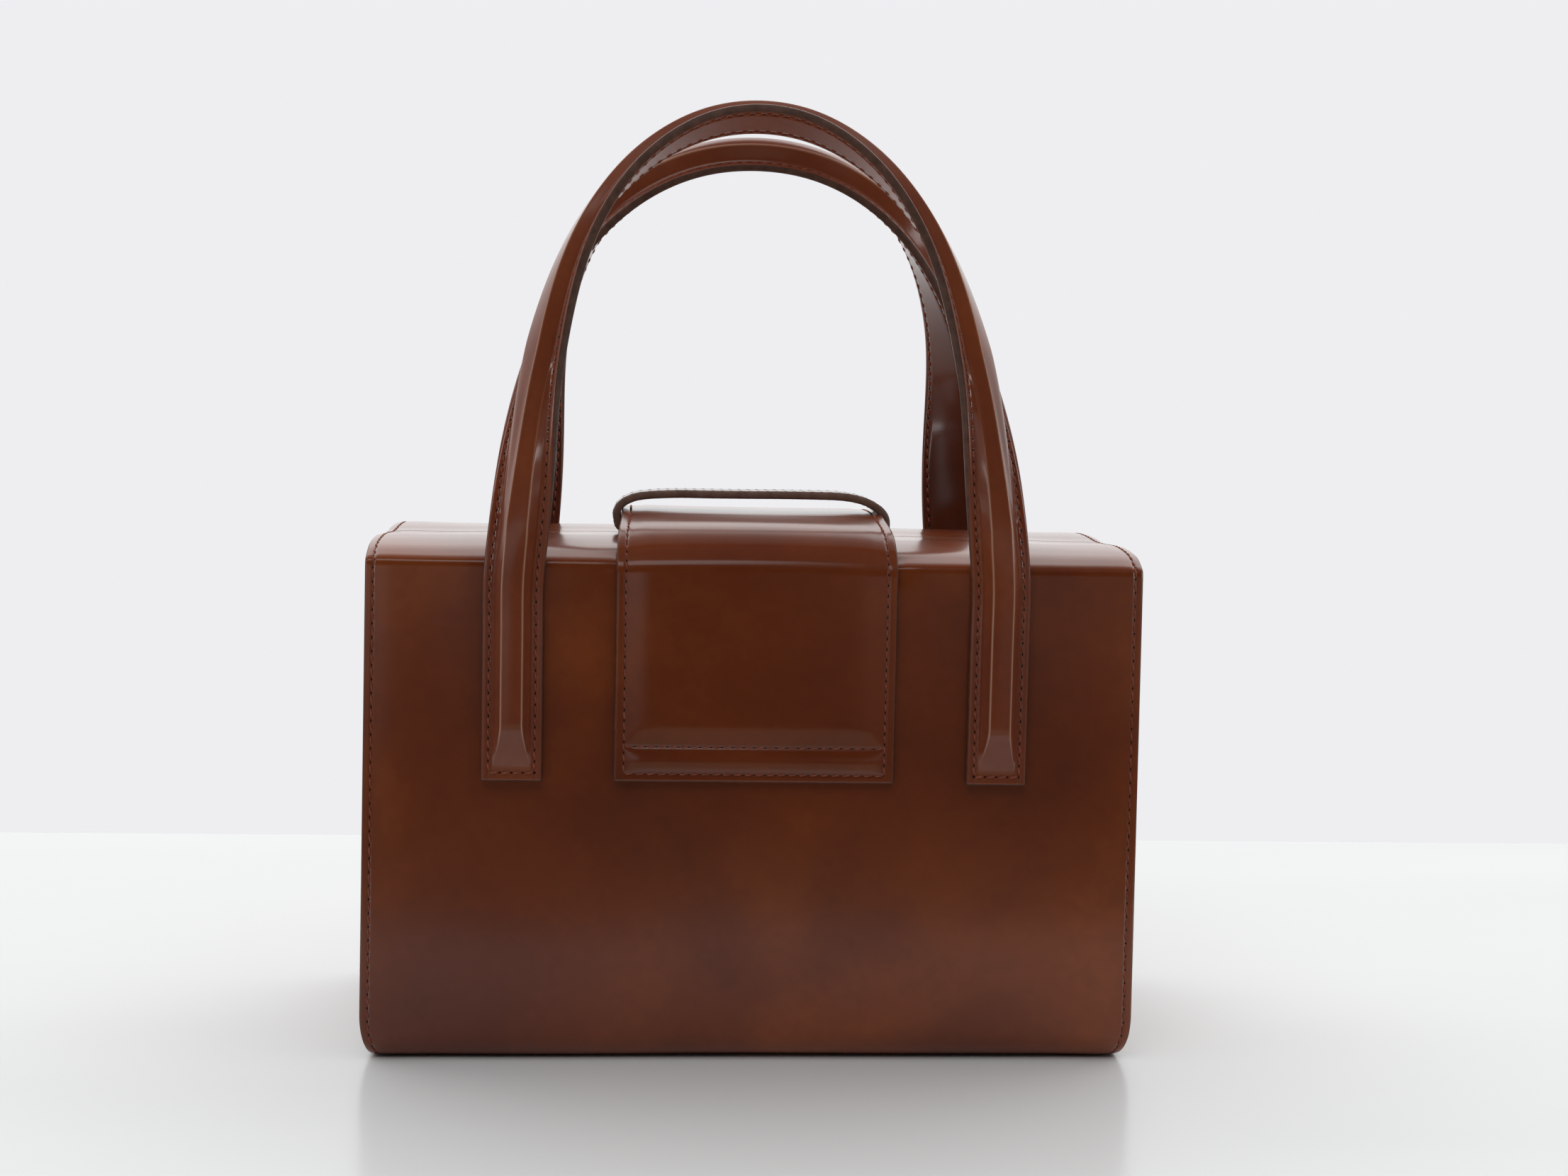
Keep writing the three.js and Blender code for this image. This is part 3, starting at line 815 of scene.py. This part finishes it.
def build_gusset(side):
    """Inset side panel: its rim stands at the shell's edge and its web sags a little inwards."""
    outline = shell_outline()
    outline = resample(outline, np.linspace(0, distances(outline)[-1], GUSSET_POINTS))
    middle = np.array([0, BAG_HEIGHT / 2])

    def ring(inward, depth, shrink=0.0):
        line = inset(outline, WALL + GAP + inward)
        if inward >= GUSSET_RIM:
            line = blur(line, GUSSET_BLUR)
        line = line + shrink * (middle - line)
        sag = GUSSET_SAG * (1 - (1 - shrink) ** 2)
        return np.column_stack([side * (half_width(line[:, 1]) - depth - sag), line])

    back = [ring(*GUSSET_BACK[0], shrink) for shrink in GUSSET_SHRINKS[::-1]]
    back += [ring(*place) for place in GUSSET_BACK]
    lip = [ring(*place) for place in GUSSET_LIP]
    front = [ring(*place) for place in GUSSET_BEND]
    front += [ring(*GUSSET_BEND[-1], shrink) for shrink in GUSSET_SHRINKS]
    kinds = [UNDER] * len(back) + [RIM] * (len(lip) - 1) + [FACE] * len(front)
    kinds = np.repeat(np.array(kinds)[:, None], GUSSET_POINTS, axis=1)
    seam = np.repeat([0] * len(back) + [1] * len(lip) + [0] * len(front), GUSSET_POINTS)
    name = "gusset_right" if side > 0 else "gusset_left"
    piece = ring_body(name + "_leather", back + lip + front, kinds, [LEATHER, EDGE, FLESH], seam=seam)
    line = ring(GUSSET_RIM, SHELL_INSET)
    inward = np.column_stack([np.zeros(len(line)), unit(inset(outline, 1) - outline)])
    return piece, stitches(name + "_stitches", [(line, inward)], SHELL_STITCH_PITCH)


# Flap

def flap_outline():
    """The flap's outer side from its sewn end over the top to its free end, as (y, z) rows."""
    top = spline(FLAP_ROWS)
    half = np.vstack([top, [(top[-1, 0], TAB_BOTTOM)]])
    return np.vstack([half[:0:-1] * (-1, 1), half])


def flap_relief(edge, end):
    """Height of the flap's padding, by distance from sides and ends, and distance from the sewn lines."""
    inside = np.minimum(edge - FLAP_INSET, end - FLAP_BAND_TOP)
    relief = FLAP_PADDING * smooth_step(inside, *FLAP_PADDING_RISE)
    in_band = (end > FLAP_END_INSET) & (end < FLAP_BAND_TOP) & (edge > FLAP_INSET)
    puff = np.sin(math.pi * (end - FLAP_END_INSET) / FLAP_BAND)
    puff = puff * smooth_step(edge, FLAP_INSET, FLAP_PUFF_REACH)
    relief = relief + np.where(in_band, FLAP_BAND_PUFF * puff, 0)
    sides = np.where(end > FLAP_END_INSET, edge - FLAP_INSET, FAR_FROM_SEAM)
    ends = np.minimum(abs(end - FLAP_END_INSET), abs(end - FLAP_BAND_TOP))
    ends = np.where(edge > FLAP_INSET, ends, FAR_FROM_SEAM)
    sewn_line = np.minimum(abs(sides), ends)
    return relief + groove(sewn_line), sewn_line


def flap_runs(grid, normals, along, across):
    """Lines of stitches along the flap's sides and across its ends."""
    first = np.argmin(abs(across - FLAP_INSET))
    last = len(across) - 1 - first
    near_rows = [np.argmin(abs(along - place)) for place in (FLAP_END_INSET, FLAP_BAND_TOP)]
    end_rows = near_rows + [len(along) - 1 - row for row in near_rows]
    sides = slice(near_rows[0], len(along) - near_rows[0])
    runs = [(grid[sides, column], normals[sides, column]) for column in (first, last)]
    return runs + [(grid[row, first:last + 1], normals[row, first:last + 1]) for row in end_rows]


def build_flap():
    outline = flap_outline()
    along = stations_across(distances(outline)[-1], FLAP_ROW_SPACING, FLAP_END_STEPS)
    across = stations_across(FLAP_WIDTH, FLAP_COLUMN_SPACING, EDGE_STEPS)
    rows = resample(outline, along)
    share = 2 * across / FLAP_WIDTH - 1
    y, z = rows[:, :1], rows[:, 1:]
    narrowing = FLAP_NARROWING / 2 * (1 - smooth_step(abs(y), FLAP_NARROWING_START, HALF_DEPTH))
    x = FLAP_OFFSET + share * (FLAP_WIDTH / 2 - EDGE_BULGE - narrowing)
    crown = FLAP_CROWN - FLAP_HOLLOW * (1 - smooth_step(abs(y), *FLAP_HOLLOW_REACH))
    crown = crown * smooth_step(z, *FLAP_CROWN_RISE)
    grid = np.stack([x, y + 0 * x, z + crown * (1 - share ** 2)], axis=-1)
    edge = np.minimum(across, FLAP_WIDTH - across) + 0 * x
    end = np.minimum(along, along[-1] - along)[:, None] + 0 * x
    relief, sewn_line = flap_relief(edge, end)
    grid = grid + grid_normals(grid, -1) * relief[..., None]
    normals = grid_normals(grid, -1)
    seam = seam_shade(sewn_line, FLAP_SEAM_WIDTH)
    piece = leather_wall("flap_leather", grid, normals, FLAP_THICKNESS, [LEATHER, EDGE, FLESH], seam)
    return piece, stitches("flap_stitches", flap_runs(grid, normals, along, across), FLAP_STITCH_PITCH)


# Keeper

def keeper_line():
    """Middle of the keeper's thickness round its loop, as (x, z) rows."""
    upper = spline(KEEPER_ROWS)
    centre_z = KEEPER_BOTTOM + KEEPER_THICKNESS / 2 + KEEPER_LOW_CORNER
    angles = np.linspace(0, math.pi / 2, KEEPER_CORNER_STEPS)
    arc = KEEPER_LOW_CORNER * np.column_stack([np.cos(angles), -np.sin(angles)])
    right = arc + (upper[0, 0] - KEEPER_LOW_CORNER, centre_z)
    left = arc * (-1, 1) + (upper[-1, 0] + KEEPER_LOW_CORNER, centre_z)
    return np.vstack([upper, left, right[::-1]])


def keeper_section():
    """Section of the keeper as (across, out) rows and whether each is on the painted edge."""
    flat, half = KEEPER_WIDTH / 2 - KEEPER_ROUND, KEEPER_THICKNESS / 2
    face = [(across, half + dip) for across, dip in KEEPER_FACE]
    edge = [(flat + KEEPER_ROUND * math.sin(angle), half * math.cos(angle)) for angle in EDGE_ANGLES]
    right = face + edge + [(across, -out) for across, out in face[::-1]]
    section = np.array(right + [(-across, out) for across, out in right[-2:0:-1]])
    return section, abs(section[:, 0]) > KEEPER_PAINT_START


def keeper_runs(line, out):
    """Lines of stitches round the keeper near both its edges, outside and inside."""
    loop = np.r_[0:len(line), 0]
    runs = []
    for face in (1, -1):
        for flank in (1, -1):
            where = line + out * face * (KEEPER_THICKNESS / 2 - KEEPER_STITCH_SINK)
            y = np.full(len(where), KEEPER_MIDDLE + flank * (KEEPER_WIDTH / 2 - KEEPER_INSET))
            points = np.column_stack([where[:, 0], y, where[:, 1]])
            normals = np.column_stack([face * out[:, 0], 0 * out[:, 0], face * out[:, 1]])
            runs.append((points[loop], normals[loop]))
    return runs


def build_keeper():
    line = keeper_line()
    line = resample(line, np.linspace(0, distances(line)[-1], KEEPER_POINTS))[:-1]
    ahead = unit(np.roll(line, -1, axis=0) - np.roll(line, 1, axis=0))
    out = np.column_stack([ahead[:, 1], -ahead[:, 0]])
    section, painted = keeper_section()
    rings = np.stack([
        line[:, None, 0] + out[:, None, 0] * section[None, :, 1],
        KEEPER_MIDDLE + section[None, :, 0] + 0 * line[:, :1],
        line[:, None, 1] + out[:, None, 1] * section[None, :, 1],
    ], axis=-1)
    kinds = np.tile((painted & np.roll(painted, -1)).astype(int), (len(rings), 1))
    seam = np.tile(painted.astype(float), len(rings))
    piece = ring_body("keeper_leather", rings, kinds, [DARK_LEATHER, KEEPER_EDGE], closed=True, seam=seam)
    sewn = stitches("keeper_stitches", keeper_runs(line, out), KEEPER_STITCH_PITCH,
                    radius=KEEPER_THREAD_RADIUS, slant=KEEPER_STITCH_SLANT, yarn=KEEPER_THREAD)
    return piece, sewn


# Handles

def core_outline(places):
    """Points of the core's outline from its outer foot to its inner foot."""
    outline = np.array(CORE_OUTLINE)
    half = np.minimum(places, 2 * CORE_MIDDLE - places)
    across = np.interp(half, outline[:, 0], outline[:, 1])
    height = np.interp(half, outline[:, 0], outline[:, 2])
    return np.column_stack([np.where(places > CORE_MIDDLE, -across, across), height])


def core_points(core, slip):
    """The core from its inner foot to its outer foot. Its ridges slip inwards where the strap turns."""
    straight = core_outline(CORE_PLACES)
    turned = core_outline(np.where(CORE_PLACES < 1, 2 * CORE_PLACES, CORE_PLACES + 1))
    across, share = (straight + slip * (turned - straight)).T
    spread = CORE_LEAST_SPREAD + (1 - CORE_LEAST_SPREAD) * core ** CORE_SPREAD_POWER
    splayed = np.sign(across) * (CORE_HALF_WIDTH - (CORE_HALF_WIDTH - abs(across)) * spread)
    on_flank = (abs(across) > CORE_FLAT_HALF) & (abs(across) < CORE_HALF_WIDTH)
    across = np.where(on_flank, splayed, across)
    return np.column_stack([across, STRAP_THICKNESS + share * core * CORE_HEIGHT])


def strap_section(core, slip):
    """Section of a strap as (across, out) rows and whether each is on the painted edge."""
    margin, flat = STRAP_WIDTH / 2 - STRAP_MARGIN, STRAP_WIDTH / 2 - STRAP_ROUND
    half = STRAP_THICKNESS / 2
    back = [(across, 0) for across in STRAP_BACK]
    back += [(STRAP_SEWN + step, out) for step, out in STRAP_BACK_LINE] + [(margin, 0), (flat, 0)]
    rim = [(flat + STRAP_ROUND * math.sin(angle), half - half * math.cos(angle)) for angle in EDGE_ANGLES]
    flange = [(flat, 0), (margin, 0)] + [(STRAP_SEWN + step, out) for step, out in STRAP_FACE_LINE]
    right = np.array(back + rim + [(across, STRAP_THICKNESS + out) for across, out in flange])
    left = right[:0:-1] * (-1, 1)
    middle = core_points(core, slip)
    painted = np.zeros(len(right), bool)
    painted[len(back):len(back) + len(rim)] = True
    on_edge = np.concatenate([painted, np.zeros(len(middle), bool), painted[:0:-1]])
    return np.vstack([right, middle, left]), on_edge


def handle_stations(rows, side):
    """Places, directions, turns and core shares along a handle from its left tab to its right tab."""
    leg = np.array([(TAB_X, HALF_DEPTH + GAP, z, 0) for z in TAB_ROWS] + rows, float)
    lean = side * HANDLE_LEAN * smooth_step(leg[:, 2], BAG_HEIGHT, HANDLE_TOP)
    left, right = leg.copy(), leg[-2::-1].copy()
    left[:, 0] = lean - left[:, 0]
    right[:, 0] = lean[-2::-1] + right[:, 0]
    line = spline(np.vstack([left, right]))
    soft = np.column_stack([blur(column, width) for column, width in zip(line.T, HANDLE_BLURS)])
    line = line + smooth_step(line[:, 2:3], *HANDLE_FREE) * (soft - line)
    places = line[:, :3] * (1, side, 1)
    turn = np.radians(np.maximum(0, line[:, 3]))
    core = smooth_step(places[:, 2], CORE_FOOT, CORE_SHOULDER)
    return places, unit(np.gradient(places, axis=0)), turn, core


def handle_frames(along, turn, side):
    """Directions across a strap and out of its padded side."""
    out_of_arch = unit(np.cross(along, (0, 1, 0)))
    away = side * np.cross(out_of_arch, along)
    cos, sin = np.cos(turn)[:, None], np.sin(turn)[:, None]
    return away * sin - out_of_arch * cos, away * cos + out_of_arch * sin


def handle_kinds(count, section, painted):
    """Material of each face between a count of rings: leather, edge paint or underside."""
    kinds = np.tile((painted & np.roll(painted, -1)).astype(int), (count - 1, 1))
    under = (section[:, 1] < UNDERSIDE_HEIGHT) & ~painted
    kinds[:, under & np.roll(under, -1)] = UNDER
    kinds[:END_RINGS] = RIM
    kinds[-END_RINGS:] = RIM
    return kinds


def handle_seam_and_highlight(section, painted, slip, core):
    """Dark share at each point of a handle's rings, below 0 where a highlight is painted along the ridges of
    its core.
    """
    shade = np.where(painted, 1, seam_shade(abs(section[:, 0]) - STRAP_SEWN, STRAP_SEAM_WIDTH))
    seam = np.tile(shade, (len(core), 1))
    first = (len(section) + 1 - len(CORE_PLACES)) // 2
    for ridge, share in ((1, slip), (2, np.ones_like(slip)), (3, 1 - slip)):
        # Painted highlight along each ridge, slipping across the core as the strap turns
        highlight = -RIDGE_HIGHLIGHT * np.exp(-((CORE_PLACES - ridge) / RIDGE_HIGHLIGHT_WIDTH) ** 2)
        seam[:, first:first + len(CORE_PLACES)] += np.outer(share * core, highlight)
    end = np.ones((END_RINGS, len(section)))
    return np.vstack([end, seam, end]).ravel()


def handle_runs(places, along, across, out, narrow):
    """Lines of stitches along both edges of a handle, on its two sides, and across its tabs."""
    first = np.argmax(places[:, 2] > TAB_BOTTOM + STRAP_INSET)
    free = np.flatnonzero(places[:, 2] > BACK_STITCH_START)
    runs = []
    for flank in (1, -1):
        beside = across * flank * STRAP_SEWN * narrow[:, None]
        front = places + beside + out * (STRAP_THICKNESS - FACE_STITCH_SINK)
        runs.append((front[first:-first], out[first:-first]))
        back = places + beside + out * BACK_STITCH_SINK
        runs.append((back[free], -out[free]))
    steps = np.linspace(-STRAP_SEWN, STRAP_SEWN, TAB_STITCH_POINTS)[:, None]
    for at, direction in ((0, 1), (-1, -1)):
        lift = out[at] * (STRAP_THICKNESS + TAB_STITCH_LIFT)
        middle = places[at] + along[at] * direction * STRAP_INSET + lift
        runs.append((middle + steps * across[at], np.tile(out[at], (TAB_STITCH_POINTS, 1))))
    return runs


def build_handle(name, rows, side, press, underside):
    """Padded strap from tab to tab. Press is the share of its core's height that the grip loses."""
    places, along, turn, core = handle_stations(rows, side)
    across, out = handle_frames(along, turn, side)
    slip = np.clip((np.degrees(turn) - SLIP_START) / SLIP_SPAN, 0, 1)
    grip = smooth_step(places[:, 2], *GRIP_HEIGHTS)
    narrow = 1 - GRIP_NARROWING * grip
    pressed = core * (1 - press * grip)
    sections = [strap_section(c, s)[0] * (n, 1) for c, s, n in zip(pressed, slip, narrow)]
    rings = [p + s[:, :1] * a + s[:, 1:] * o for p, a, o, s in zip(places, across, out, sections)]
    half = STRAP_THICKNESS / 2

    def rounded_end(at, direction):
        ends = []
        for angle in np.linspace(0, math.pi / 2, END_RINGS + 1)[1:]:
            flat = sections[at].copy()
            flat[:, 1] = half + (flat[:, 1] - half) * max(END_THINNEST, math.cos(angle))
            shift = along[at] * direction * STRAP_ROUND * math.sin(angle)
            ends.append(places[at] + shift + flat[:, :1] * across[at] + flat[:, 1:] * out[at])
        return ends

    rings = rounded_end(0, -1)[::-1] + rings + rounded_end(-1, 1)
    section, painted = strap_section(1, 0)
    kinds = handle_kinds(len(rings), section, painted)
    seam = handle_seam_and_highlight(section, painted, slip, core)
    piece = ring_body(name + "_leather", rings, kinds, [HANDLE_LEATHER, HANDLE_EDGE, underside], seam=seam)
    sewn = stitches(name + "_stitches", handle_runs(places, along, across, out, narrow), STRAP_STITCH_PITCH,
                    radius=STRAP_THREAD_RADIUS, slant=STRAP_STITCH_SLANT)
    return piece, sewn


# Clasp

def build_clasp():
    """Plain snap cap with a turned rim on the flap's free end."""
    foot = HALF_DEPTH + GAP
    seat = HALF_DEPTH + 2 * GAP + FLAP_THICKNESS
    profile = [(CLASP_TIP, foot), (CLASP_POST, foot), (CLASP_POST, seat)]
    profile += [(CLASP_RADIUS + step, seat + height) for step, height in CLASP_RIM]
    profile += [(CLASP_RADIUS * share, seat + height) for share, height in CLASP_CAP]
    profile += [(CLASP_TIP, seat + CLASP_DOME)]
    angles = np.linspace(0, 2 * math.pi, CLASP_SIDES, endpoint=False)
    circle = np.column_stack([np.cos(angles), 0 * angles, np.sin(angles)])
    rings = [radius * circle + (0, y, CLASP_HEIGHT) for radius, y in profile]
    kinds = np.zeros((len(profile) - 1, CLASP_SIDES), int)
    return ring_body("clasp_cap", rings, kinds, [BRONZE])


# The bag on its body

def fit(piece, node, extra=()):
    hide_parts(node)
    for item in (piece, *extra):
        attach(item, "root")


shell, shell_sewn = build_shell()
fit(shell, "shell", [shell_sewn])
for gusset_name, gusset_side in (("gusset_left", -1), ("gusset_right", 1)):
    gusset, gusset_sewn = build_gusset(gusset_side)
    fit(gusset, gusset_name, [gusset_sewn])
flap, flap_sewn = build_flap()
fit(flap, "flap", [flap_sewn])
keeper, keeper_sewn = build_keeper()
fit(keeper, "keeper", [keeper_sewn])
for handle_name, *handle_form in (
    ("handle_back", BACK_ROWS, -1, BACK_GRIP_PRESS, BACK_UNDERSIDE),
    ("handle_front", FRONT_ROWS, 1, FRONT_GRIP_PRESS, SHADED_FRONT_UNDERSIDE),
):
    handle, handle_sewn = build_handle(handle_name, *handle_form)
    fit(handle, handle_name, [handle_sewn])
fit(build_clasp(), "clasp")


# Stage

def build_floor():
    """Plain pale table top."""
    width, front, back = FLOOR_WIDTH * MM, FLOOR_FRONT * MM, FLOOR_BACK * MM
    bpy.ops.mesh.primitive_cube_add(size=1, location=(0, (front + back) / 2, -FLOOR_THICKNESS * MM / 2))
    floor = bpy.context.object
    floor.name = "floor"
    floor.scale = (width, back - front, FLOOR_THICKNESS * MM)
    dark, plain, light = tones((228, 230, 230), (230, 232, 232), (234, 236, 236))
    paint = two_toned("pale_floor", dark, light, 0.2, scale=3, plain=plain, specular=0.22)
    floor.data.materials.append(paint[0])


def add_light(name, place, target, size, power, glossy=True, diffuse=True):
    """Rectangular soft light that looks at a target. Places and sizes are in metres."""
    data = bpy.data.lights.new(name, "AREA")
    data.shape = "RECTANGLE"
    data.size, data.size_y = size
    data.energy = power
    lamp = bpy.data.objects.new(name, data)
    bpy.context.scene.collection.objects.link(lamp)
    lamp.visible_glossy = glossy
    lamp.visible_diffuse = diffuse
    lamp.location = place
    lamp.rotation_euler = (Vector(target) - Vector(place)).to_track_quat("-Z", "Y").to_euler()


def build_lights():
    add_light("key", place=(-0.35, -1, 1.3), target=(0, 0, 0.12), size=(1, 0.6), power=3.3)
    add_light("top", place=(0.1, -0.9, 1.9), target=(0, -0.9, 0), size=(3, 2.4), power=14.5, glossy=False)
    for side in (-1, 1):
        add_light("window", place=(1.05 * side, -0.75, 0.45), target=(0, 0, 0.3), size=(0.25, 0.75), power=3,
                  diffuse=False)


def build_world():
    """White studio: bright behind, dimmer at the sides, dark in front, and plain white where it is seen."""
    world = bpy.data.worlds.new("studio")
    bpy.context.scene.world = world
    world.use_nodes = True
    tree = world.node_tree
    way = axes(tree, "Generated")
    walls = grey_ramp(tree, around(tree, way["Y"], -1, 1), WALL_LIGHT)
    height = grey_ramp(tree, way["Z"], HEIGHT_LIGHT)
    haze = grey_ramp(tree, around(tree, way["X"], *HAZE_REACH), HAZE_LIGHT)
    low = grey_ramp(tree, around(tree, way["Z"], *LOW_REACH), LOW_LIGHT)
    ground = ramp(tree, around(tree, way["Z"], *GROUND_REACH), [(0, grey(0)), (1, GROUND_LIGHT)])
    low = mix(tree, 1.0, mix(tree, 1.0, low, haze, "MULTIPLY"), ground, "ADD")
    low = mix(tree, around(tree, way["Y"], *FRONT_REACH), low, walls)
    high = mix(tree, 1.0, walls, height, "MULTIPLY")
    lit = mix(tree, around(tree, way["Z"], *HORIZON_REACH), low, high)
    path = tree.nodes.new("ShaderNodeLightPath")
    color = mix(tree, path.outputs["Is Camera Ray"], lit, linear(238, 238, 241))
    tree.links.new(color, tree.nodes["Background"].inputs["Color"])


def build_camera():
    yaw, pitch, roll = (math.radians(a) for a in (CAMERA_YAW, CAMERA_PITCH, CAMERA_ROLL))
    ahead = Vector((math.sin(yaw) * math.cos(pitch), math.cos(yaw) * math.cos(pitch), -math.sin(pitch)))
    right = Vector((math.cos(yaw), -math.sin(yaw), 0))
    down = ahead.cross(right)
    image_right = math.cos(roll) * right + math.sin(roll) * down
    image_down = math.cos(roll) * down - math.sin(roll) * right
    data = bpy.data.cameras.new("camera")
    data.lens = CAMERA_LENS
    camera = bpy.data.objects.new("camera", data)
    bpy.context.scene.collection.objects.link(camera)
    turn = Matrix((image_right, -image_down, -ahead)).transposed()
    camera.matrix_world = Matrix.Translation(Vector(CAMERA_PLACE) * MM) @ turn.to_4x4()
    bpy.context.scene.camera = camera


build_floor()
build_world()
build_lights()
build_camera()
bpy.context.scene.view_settings.view_transform = "Standard"
